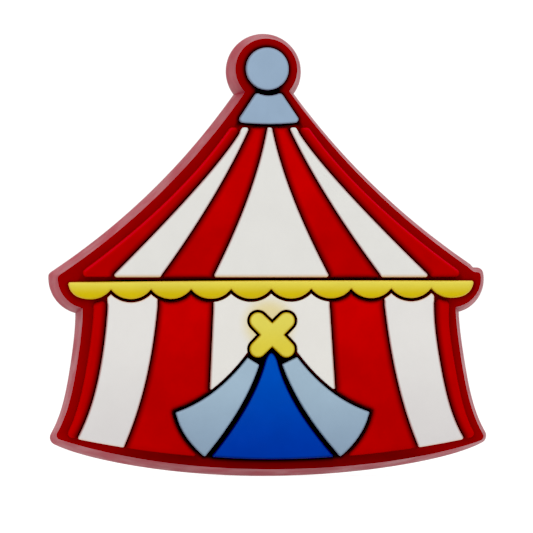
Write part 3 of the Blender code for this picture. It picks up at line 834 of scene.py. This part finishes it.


# Red panels: a painted dark shade beside other panels, and little shine
RED_PANEL = {"seam": ((92, 0, 2), 0.02, 0.50), "shine": 0.06}
# The rim: painted shade darker towards the bottom, and a dark painted shade beside the trims
soft_pvc("rim_red", (137, 0, 3), (112, 0, 3), (-9.5, -8.8), seam=((44, 1, 10), 0.03, 0.30),
         gloss=0.40, shine=0.12)
# The side wall: the body's red with a painted mauve sheen, standing in for reflected light
soft_pvc("side_red_painted_sheen", (143, 2, 36), gloss=0.40, shine=0.185)
# Inner red stripes: a painted shade, darker towards the bottom
soft_pvc("red_roof", (178, 0, 2), (165, 0, 2), (4.0, 8.5), **RED_PANEL)
soft_pvc("red_wall", (181, 0, 1), (167, 0, 1), (-4.5, 0.0), **RED_PANEL)
# Outer red stripes: a painted pinkish highlight along their own rounded edge
soft_pvc("red_roof_outer", (163, 0, 2), edge=((180, 16, 36), 0.07, 0.26), **RED_PANEL)
soft_pvc("red_wall_outer", (165, 0, 2), edge=((170, 6, 20), 0.06, 0.22), **RED_PANEL)
# White roof stripes: painted shade beside other panels, and a yellowish painted shade at the foot
soft_pvc("white_roof", (206, 205, 201), (192, 158, 118), (2.11, 2.40),
         seam=((150, 104, 104), 0.02, 0.19), dust=0.05, patches=0.012)
# White wall stripes: painted shade lower down and beside panels, and pinkish at the rounded edge
soft_pvc("white_wall", (207, 205, 202), (198, 195, 194), (-9.0, -1.0),
         edge=((206, 182, 170), 0.0, 0.12), seam=((150, 104, 104), 0.02, 0.19), dust=0.05,
         patches=0.012)
# Middle white: a painted shade beside other panels
soft_pvc("white_middle", (209, 207, 202), seam=((150, 104, 96), 0.02, 0.21), dust=0.04,
         patches=0.012, bleed=((205, 186, 92), (-0.15, -0.85), (0.9, 2.1), 0.62))
# Yellow knot and valance: painted shade at the rounded edges and darker towards the bottom
soft_pvc("yellow", (205, 194, 82), (200, 185, 60), (-2.6, -0.6),
         edge=((164, 132, 30), 0.0, 0.16), patches=0.03)
soft_pvc("yellow_valance", (206, 194, 76), (190, 168, 10), (1.0, 1.95),
         edge=((196, 160, 60), 0.0, 0.12), patches=0.03)
# Blue trims: painted shade at the rounded edges; curtains and door also darker lower down
soft_pvc("light_blue", (136, 157, 179), edge=((104, 112, 128), 0.0, 0.14), patches=0.03)
soft_pvc("curtain_blue", (145, 167, 184), (129, 150, 170), (-9.0, -4.6),
         edge=((100, 116, 132), 0.0, 0.14), patches=0.03)
soft_pvc("blue", (0, 70, 170), (0, 48, 150), (-9.5, -3.2), edge=((0, 24, 84), 0.0, 0.20),
         patches=0.04)
milky_plastic("clear_plastic")

# Panels, noted down until the outlines around them are known
PADS = []

# Reach of the shading beside panels, how much softer it is by the outer ones, where it fades
# along the valance, and what stands for no edge or panel nearby
NEAR_REACH = 1.0
OUTER_SHADE = 0.24
FADE_FROM = 10.0
FADE_OVER = 0.8
FADED_NEAR = 0.17
BACK_EDGE = 1.0
BACK_NEAR = 2.0

# A panel's rounded shoulder as the angles of its points, and rings as (share of rounding, more)
TOP_CLEARANCE = 0.006
SHOULDER_ANGLES = (24, 42, 58, 74, 90)
INNER_RINGS = ((1.6, 0.05), (2.4, 0.2))
FILL_GRID = 0.42

# Its uneven top: sunk a little towards the edge, with shallow waves
SINK_DEPTH = 0.012
SINK_REACH = 1.2
WAVE_DEPTH = 0.006
WAVES_PER_MM = 0.9
WAVES_START = 0.4

# The rim's rounded edge, and the side wall's rows as (share of the way to the back, inset)
RIM_ANGLES = (24, 45, 68, 90)
RIM_INNER_RING = 0.3
SIDE_ROWS = ((0.12, 0.0), (0.35, 0.0), (0.6, 0.0), (0.85, 0.0), (0.965, 0.0), (0.99, 0.03),
             (1.0, 0.08), (1.0, 0.16))
SHARP_ABOVE = 50

# Stripes of each half, from the middle out: name, look, slot, edge rounding, corner radius
STRIPES = (
    ("red_inner", "red_{}", "panel_red", RED_ROUND, RED_CORNER),
    ("white", "white_{}", "white", WHITE_ROUND, WHITE_CORNER),
    ("red_outer", "red_{}_outer", "panel_red", RED_ROUND, OUTER_CORNER),
)
SIDES = (("right", 1), ("left", -1))


# Meshes
def added(name, data):
    """A new object of the scene with this data."""
    made = bpy.data.objects.new(name, data)
    bpy.context.scene.collection.objects.link(made)
    return made


def finish_mesh(name, vertices, faces, looks, slot, node, groups=None, **values):
    """One piece from its points in millimetres, with the given numbers kept on the points."""
    mesh = bpy.data.meshes.new(name)
    mesh.from_pydata([(x * MM, y * MM, z * MM) for x, y, z in vertices], [], faces)
    mesh.validate()
    for look in looks:
        mesh.materials.append(LOOKS[look])
    if groups:
        mesh.polygons.foreach_set("material_index", groups)
    for key, numbers in values.items():
        layer = mesh.attributes.new(key, "FLOAT", "POINT")
        layer.data.foreach_set("value", numbers)
    mesh.shade_smooth()
    mesh.set_sharp_from_angle(angle=radians(SHARP_ABOVE))
    made = added(name, mesh)
    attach(made, "root")
    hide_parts(node)


def pad(node, outline, height, look, slot, rounding, seed=0.0):
    """Notes down a raised panel. The seed sets its waves apart from the other panels'."""
    PADS.append((node, split_long(outline), height, look, slot, rounding, seed))


def close_by(points, node, trims_only=False):
    """Distance from each point to the nearest other panel, up to a reach."""
    points = np.asarray(points, float)
    nearest = np.full(len(points), NEAR_REACH)
    for other in PADS:
        trim = other[2] == TRIM_HEIGHT or other[0] == "door"
        if other[0] == node or (trims_only and not trim and "outer" not in other[0]):
            continue
        line = np.asarray(placed(other[1]), float)
        low, high = line.min(0) - NEAR_REACH, line.max(0) + NEAR_REACH
        near = np.where(((points > low) & (points < high)).all(1))[0]
        if len(near):
            distance, inside = distance_to(points[near], line)
            distance[inside] = 0.0
            if trims_only and not trim:
                distance += OUTER_SHADE
            nearest[near] = np.minimum(nearest[near], distance)
    return nearest


def between(upper, lower):
    """Faces between two closed rows of points."""
    count = len(upper)
    return [(upper[(i + 1) % count], upper[i], lower[i], lower[(i + 1) % count])
            for i in range(count)]


def shoulder_rings(radius, angles):
    """Distances from an outline to the points of its rounded edge."""
    return [radius * (1 - cos(radians(angle))) for angle in angles]


def shoulder_drop(distance, radius):
    """How far a rounded edge lies below the top, at a distance from the outline."""
    return radius - sqrt(max(radius ** 2 - max(radius - distance, 0.0) ** 2, 0.0))


def make_pad(node, outline, height, look, slot, rounding, seed):
    """A raised PVC panel: straight foot, rounded shoulder and a faintly uneven top."""
    rings = shoulder_rings(rounding, SHOULDER_ANGLES)
    rings += [rounding * share + more for share, more in INNER_RINGS]
    points = outline + filled(outline, rings, FILL_GRID)
    vertices, faces, (rim,) = triangles(points, [list(range(len(outline)))])
    distance, inside = distance_to(vertices, outline)
    distance[rim] = 0.0
    top = FACE - height + TOP_CLEARANCE
    body = []
    for (x, z), (px, pz), d in zip(vertices, placed(vertices), distance):
        sink = SINK_DEPTH * (1 - min(d / SINK_REACH, 1.0)) ** 2 * min(d / rounding, 1.0)
        wave = noise.noise(Vector((x * WAVES_PER_MM, z * WAVES_PER_MM, seed)))
        wave *= WAVE_DEPTH * min(d / WAVES_START, 1.0)
        body.append((px, top + shoulder_drop(d, rounding) + sink + wave, pz))
    # Distances to other panels and to the own outline, for the looks' painted shade and highlights
    near = list(close_by([(x, z) for x, y, z in body], node))
    near += [near[v] for v in rim]
    edge = list(distance) + [0.0] * len(rim)
    foot = list(range(len(body), len(body) + len(rim)))
    body += [(body[v][0], FACE, body[v][2]) for v in rim]
    faces += between(rim, foot) + [tuple(reversed(foot))]
    finish_mesh(node + "_pad", body, faces, [look], slot, node, edge=edge, near=near)


def stripe(part, k, side, sign, sides, seed):
    """Notes down one of the three stripes on a side of the roof or the wall."""
    name, look, slot, rounding, corner = STRIPES[k]
    outline = sided(closed_outline(sides, GROOVE / 2, corner), sign)
    pad(f"{part}_{name}_{side}", outline, PANEL_HEIGHT, look.format(part), slot, rounding, seed)


def build_roof():
    top = [(PAST_SIDES, STRIPES_TOP), (-PAST_SIDES, STRIPES_TOP)]
    foot = [(-PAST_SIDES, ROOF_FOOT), (PAST_SIDES, ROOF_FOOT)]
    seams = {sign: [roof_seam(seam, sign) for seam in ROOF_SEAMS] for sign in (1, -1)}
    middle = [foot, seams[1][0][::-1], top, mirrored(seams[-1][0][::-1])]
    pad("roof_white_centre", closed_outline(middle, GROOVE / 2, WHITE_CORNER), PANEL_HEIGHT,
        "white_roof", "white", WHITE_ROUND)
    for k in range(len(STRIPES)):
        for side, sign in SIDES:
            sides = [foot, seams[sign][k + 1][::-1], top, seams[sign][k]]
            stripe("roof", k, side, sign, sides, sign * (k + 1.5))


def build_peak():
    ball = circle(BALL_CENTRE, BALL_RADIUS, BALL_SIDES)
    pad("finial_ball", ball, TRIM_HEIGHT, "light_blue", "light_blue", TRIM_ROUND, 2.2)
    centre = (0.0, BALL_CENTRE[1])
    half = degrees(atan2(CONE_TOP[0], CONE_GAP_RADIUS))
    under_ball = arc(centre, CONE_GAP_RADIUS, -90 + half, -90 - half, COUNT_CONE_TOP)
    foot = bezier((-CONE_FOOT[0], CONE_FOOT[1]), (0.0, CONE_FOOT[1] - 2 * CONE_SAG), CONE_FOOT,
                  COUNT_CONE_FOOT)
    right = [CONE_FOOT, CONE_TOP]
    outline = closed_outline([foot, right, under_ball, mirrored(right)], 0.0, CONE_ROUND)
    pad("finial_cone", moved(outline, CONE_SHIFT), TRIM_HEIGHT, "light_blue", "light_blue",
        TRIM_ROUND, 3.1)


def build_valance():
    end_middle = SCALLOP_PITCH * (SCALLOPS_EACH_SIDE - 0.5)
    right = scallop_line(0.0, end_middle, 0.0)
    end = bezier((end_middle, VALANCE_LOW), VALANCE_END_PULL, (VALANCE_HALF, VALANCE_TOP),
                 COUNT_VALANCE_END)
    low = mirrored(right)[:-1] + right
    top = bezier((VALANCE_HALF, VALANCE_TOP), (0.0, VALANCE_TOP + 2 * VALANCE_BOW),
                 (-VALANCE_HALF, VALANCE_TOP), COUNT_VALANCE_TOP)
    outline = closed_outline([low + end[1:], top, mirrored(end)], 0.0, VALANCE_CORNER)
    pad("valance", on_valance(outline), TRIM_HEIGHT, "yellow_valance", "yellow", TRIM_ROUND, 4.4)


def build_walls():
    half = GROOVE / 2
    bows = {sign: (WALL_FOOT_CURVE, 0.0) for sign in (1, -1)}
    foot = foot_line(WALL_FOOT, bows, -PAST_SIDES, PAST_SIDES)
    top_end = SCALLOP_PITCH * SCALLOPS_EACH_SIDE
    scallops = on_valance(scallop_line(top_end, -top_end, SCALLOP_GAP - half))
    above = {}
    for side, sign in SIDES:
        inner, upper, hem = curtain_lines(sign)
        above[sign] = offset_line(upper, TRIM_GAP - half)
        for k in range(len(STRIPES)):
            outer, nearer = (wall_seam(WALL_SEAMS[n], sign) for n in (k + 1, k))
            sides = [foot, outer[::-1], sided(scallops, sign), nearer]
            if k == 0:
                sides += [above[sign], offset_line(hem, TRIM_GAP - half)]
            stripe("wall", k, side, sign, sides, sign * (k + 2.5))
    edges = {sign: wall_seam(WALL_SEAMS[0], sign)[::-1] for sign in (1, -1)}
    middle = [edges[1], scallops, mirrored(edges[-1]), mirrored(above[-1]),
              knot_arch(KNOT_GAP - half), above[1]]
    pad("wall_white_centre", closed_outline(middle, half), PANEL_HEIGHT, "white_middle", "white",
        WHITE_ROUND, 6.1)


def build_doorway():
    sides = {sign: bezier(*DOOR_SIDES[sign][::-1], COUNT_DOOR) for sign in (1, -1)}
    corners = [(-DOOR_SIDES[-1][2][0], DOOR_SIDES[-1][2][1]), DOOR_SIDES[1][2]]
    bow = (0.0, 2 * DOOR_FOOT - corners[0][1])
    foot = bezier(corners[0], bow, corners[1], COUNT_DOOR_FOOT)
    shoulders = [DOOR_SIDES[1][0], (-DOOR_SIDES[-1][0][0], DOOR_SIDES[-1][0][1])]
    rise = (0.0, 2 * DOOR_APEX - shoulders[0][1])
    dome = bezier(shoulders[0], rise, shoulders[1], COUNT_DOOR_TOP)
    door = closed_outline([foot, sides[1], dome, mirrored(sides[-1])], 0.0)
    pad("door", door, PANEL_HEIGHT, "blue", "blue", TRIM_ROUND, 7.7)
    for side, sign in SIDES:
        inner, upper, hem = curtain_lines(sign)
        curtain = closed_outline([inner[::-1], hem[::-1], upper[::-1], [upper[0], inner[-1]]], 0.0)
        pad(f"curtain_{side}", sided(curtain, sign), TRIM_HEIGHT, "curtain_blue", "light_blue",
            TRIM_ROUND, sign * 1.7)
    pad("knot", knot_outline(), TRIM_HEIGHT, "yellow", "yellow", TRIM_ROUND, 8.2)


def fading_at_ends(points, near):
    """Distances to the trims, made larger by the valance's ends, where its painted dark shade fades."""
    x, z = np.transpose(points)
    share = np.clip((abs(x) - FADE_FROM) / FADE_OVER, 0.0, 1.0) * (z > WALL_TOP)
    return np.maximum(near, FADED_NEAR * share).tolist()


def add_side_wall(edge_line, first, body, faces):
    """Rows of the side wall from the rim's edge to the back. Gives the last row's points."""
    back_line = [(x, z - BACK_DROP) for x, z in placed(rim_ring(flared=True))]
    row = first
    for share, inset in SIDE_ROWS:
        ring = [(a[0] + (b[0] - a[0]) * share, a[1] + (b[1] - a[1]) * share)
                for a, b in zip(edge_line, back_line)]
        if inset:
            ring = ring_offset(ring, -inset)
        following = list(range(len(body), len(body) + len(ring)))
        body += [(x, (FACE + EDGE_ROUND) * (1 - share), z) for x, z in ring]
        faces += between(row, following)
        row = following
    return row


def add_back(row, body, faces):
    """The flat back, with the round pocket that the stud's flange lies in."""
    points = [(body[v][0], body[v][2]) for v in row]
    points += circle((0.0, 0.0), FLANGE_RADIUS + SEAT_GAP, POCKET_SIDES)
    loops = [list(range(len(row))), list(range(len(row), len(points)))]
    vertices, made, (rim, pocket) = triangles(points, loops)
    mouth = list(range(len(body), len(body) + POCKET_SIDES))
    body += [(vertices[v][0], 0.0, vertices[v][1]) for v in pocket]
    numbers = dict(zip(rim + pocket, row + mouth))
    mouth_reach = (FLANGE_RADIUS + SEAT_GAP) * cos(pi / POCKET_SIDES)
    for face in made:
        middle = [sum(vertices[v][k] for v in face) / 3 for k in (0, 1)]
        if hypot(*middle) > mouth_reach:
            faces.append(tuple(numbers[v] for v in reversed(face)))
    deep = list(range(len(body), len(body) + POCKET_SIDES))
    body += [(body[v][0], -FLANGE_DEPTH, body[v][2]) for v in mouth]
    faces += between(deep, mouth) + [tuple(reversed(deep))]


def build_base():
    """The red body: low face with a rounded edge, drafted side wall and flat back."""
    edge_line = placed(rim_ring())
    rings = shoulder_rings(EDGE_ROUND, RIM_ANGLES) + [RIM_INNER_RING]
    points = edge_line + filled(edge_line, rings, 0.0)
    loops = [list(range(len(edge_line)))]
    for panel in PADS:
        loops.append(list(range(len(points), len(points) + len(panel[1]))))
        points += placed(panel[1])
    vertices, faces, rows = triangles(points, loops)
    distance, inside = distance_to(vertices, edge_line)
    distance[rows[0]] = 0.0
    body = [(x, FACE + shoulder_drop(d, EDGE_ROUND), z) for (x, z), d in zip(vertices, distance)]
    groups = [0] * len(faces)
    last = add_side_wall(edge_line, rows[0], body, faces)
    groups += [1] * (len(faces) - len(groups))
    add_back(last, body, faces)
    groups += [0] * (len(faces) - len(groups))
    # Distances to the trims, for the rim's painted dark shade beside them
    near = fading_at_ends(vertices, close_by(vertices, "base", trims_only=True))
    near += [BACK_NEAR] * (len(body) - len(near))
    edge = list(distance) + [BACK_EDGE] * (len(body) - len(distance))
    finish_mesh("base_body", body, faces, ["rim_red", "side_red_painted_sheen"], "base_red", "base",
                groups=groups, edge=edge, near=near)


def rounded_profile(corners, radius_of):
    """Points of a turned piece's profile, with each listed corner rounded."""
    points = []
    for i, corner in enumerate(corners):
        radius = radius_of.get(i, 0.0)
        if not radius:
            points.append(corner)
            continue
        before, after = corners[i - 1], corners[i + 1]
        reach, arc_points = fillet(before, corner, after, radius)
        start, end = (cut_back([other, corner], reach)[-1] for other in (before, after))
        points += [start] + arc_points(start, end) + [end]
    return points


def build_stud():
    """The fastening stud, turned from its profile of (radius, y) points."""
    head_top = NECK_LENGTH + HEAD_THICKNESS
    corners = [(0.0, -FLANGE_DEPTH + SEAT_GAP), (FLANGE_RADIUS, -FLANGE_DEPTH + SEAT_GAP),
               (FLANGE_RADIUS, 0.0), (NECK_RADIUS, 0.0), (NECK_RADIUS, NECK_LENGTH),
               (HEAD_RADIUS, NECK_LENGTH), (HEAD_RADIUS, head_top), (0.0, head_top)]
    profile = rounded_profile(corners, STUD_ROUNDS)[:-1]
    profile += [(radius, head_top - depth) for radius, depth in HEAD_DISH]
    body, rows = [(0.0, profile[0][1], 0.0)], []
    for radius, y in profile[1:-1]:
        rows.append(list(range(len(body), len(body) + STUD_SIDES)))
        body += [(x, y, z) for x, z in circle((0.0, 0.0), radius, STUD_SIDES)]
    tip = len(body)
    body.append((0.0, profile[-1][1], 0.0))
    faces = [face for low, high in zip(rows, rows[1:]) for face in between(low, high)]
    for i in range(STUD_SIDES):
        j = (i + 1) % STUD_SIDES
        faces += [(0, rows[0][i], rows[0][j]), (tip, rows[-1][j], rows[-1][i])]
    finish_mesh("stud_button", body, faces, ["clear_plastic"], "clear_plastic", "stud")


build_roof()
build_peak()
build_valance()
build_walls()
build_doorway()
for panel in PADS:
    make_pad(*panel)
build_base()
build_stud()

# Studio: the photo's frame and camera, in pixels, metres and degrees
PIXELS_PER_MM = 15.5
PICTURE_WIDTH = 533
ORIGIN_PIXEL = (270.8, 310.0)
CAMERA_DISTANCE = 1.5
CAMERA_YAW = 4.1
SENSOR = 36.0
CLIPPING = (0.05, 10.0)

# Light from all around, the darkest tone shown as black, and the floor's size in metres
WORLD_LIGHT = 1.06
BLACK_POINT = 0.022
FLOOR_SIZE = 3.0
FLOOR_PARTS = 24


def build_floor():
    """Pale floor card, which glows a little so that it shows as white."""
    lowest = min(v[2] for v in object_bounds())
    mesh = bpy.data.meshes.new("floor")
    row = FLOOR_PARTS + 1
    vertices = [(FLOOR_SIZE * (i / FLOOR_PARTS - 0.5), FLOOR_SIZE * (j / FLOOR_PARTS - 0.5), lowest)
                for j in range(row) for i in range(row)]
    faces = [(j * row + i, j * row + i + 1, (j + 1) * row + i + 1, (j + 1) * row + i)
             for j in range(FLOOR_PARTS) for i in range(FLOOR_PARTS)]
    mesh.from_pydata(vertices, [], faces)
    n = Nodes("floor_card")
    grain = n.clouds(scale=40.0, detail=2.0)
    n.shade("Base Color", n.tones(grain, (148, 148, 148), (152, 152, 151)))
    n.shade("Emission Color", n.tones(grain, (252, 252, 252), (254, 254, 254)))
    n.shade("Emission Strength", 0.78)
    n.shade("Roughness", 0.9)
    n.shade("Specular IOR Level", 0.0)
    mesh.materials.append(n.material)
    added("floor", mesh)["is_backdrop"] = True


def aim(item, place, direction):
    """Puts a light or camera at a place, looking along a direction."""
    item.location = place
    item.rotation_mode = "QUATERNION"
    item.rotation_quaternion = direction.to_track_quat("-Z", "Y")


def area_light(name, place, target, size, watts):
    """A round soft light that faces its target."""
    data = bpy.data.lights.new(name, "AREA")
    data.shape = "DISK"
    data.size = size
    data.energy = watts
    aim(added(name, data), place, Vector(target) - Vector(place))


def build_camera():
    middle = (PICTURE_WIDTH - 1) / 2
    target = Vector(((middle - ORIGIN_PIXEL[0]) / PIXELS_PER_MM * MM, (FACE - PANEL_HEIGHT) * MM,
                     (ORIGIN_PIXEL[1] - middle) / PIXELS_PER_MM * MM))
    back = Vector((-sin(radians(CAMERA_YAW)), -cos(radians(CAMERA_YAW)), 0.0))
    data = bpy.data.cameras.new("camera")
    data.sensor_width = SENSOR
    data.lens = SENSOR * CAMERA_DISTANCE / (PICTURE_WIDTH / PIXELS_PER_MM * MM)
    data.clip_start, data.clip_end = CLIPPING
    data.dof.use_dof = False
    camera = added("camera", data)
    aim(camera, target + back * CAMERA_DISTANCE, -back)
    bpy.context.scene.camera = camera


def build_world():
    """Even white light from all around, and the plain way its colours are shown."""
    world = bpy.data.worlds.new("studio")
    world.use_nodes = True
    background = world.node_tree.nodes["Background"]
    background.inputs["Color"].default_value = (1.0, 1.0, 1.0, 1.0)
    background.inputs["Strength"].default_value = WORLD_LIGHT
    bpy.context.scene.world = world
    colours = bpy.context.scene.view_settings
    colours.view_transform = "Standard"
    colours.look = "None"
    colours.use_curve_mapping = True
    colours.curve_mapping.black_level = (BLACK_POINT,) * 3
    colours.curve_mapping.update()


build_floor()
area_light("key", place=(-0.25, -0.45, 0.45), target=(0.0, 0.0, 0.003), size=0.25, watts=0.5)
area_light("overhead", place=(0.0, -0.05, 0.6), target=(0.0, 0.0, 0.0), size=0.5, watts=1.0)
build_camera()
build_world()
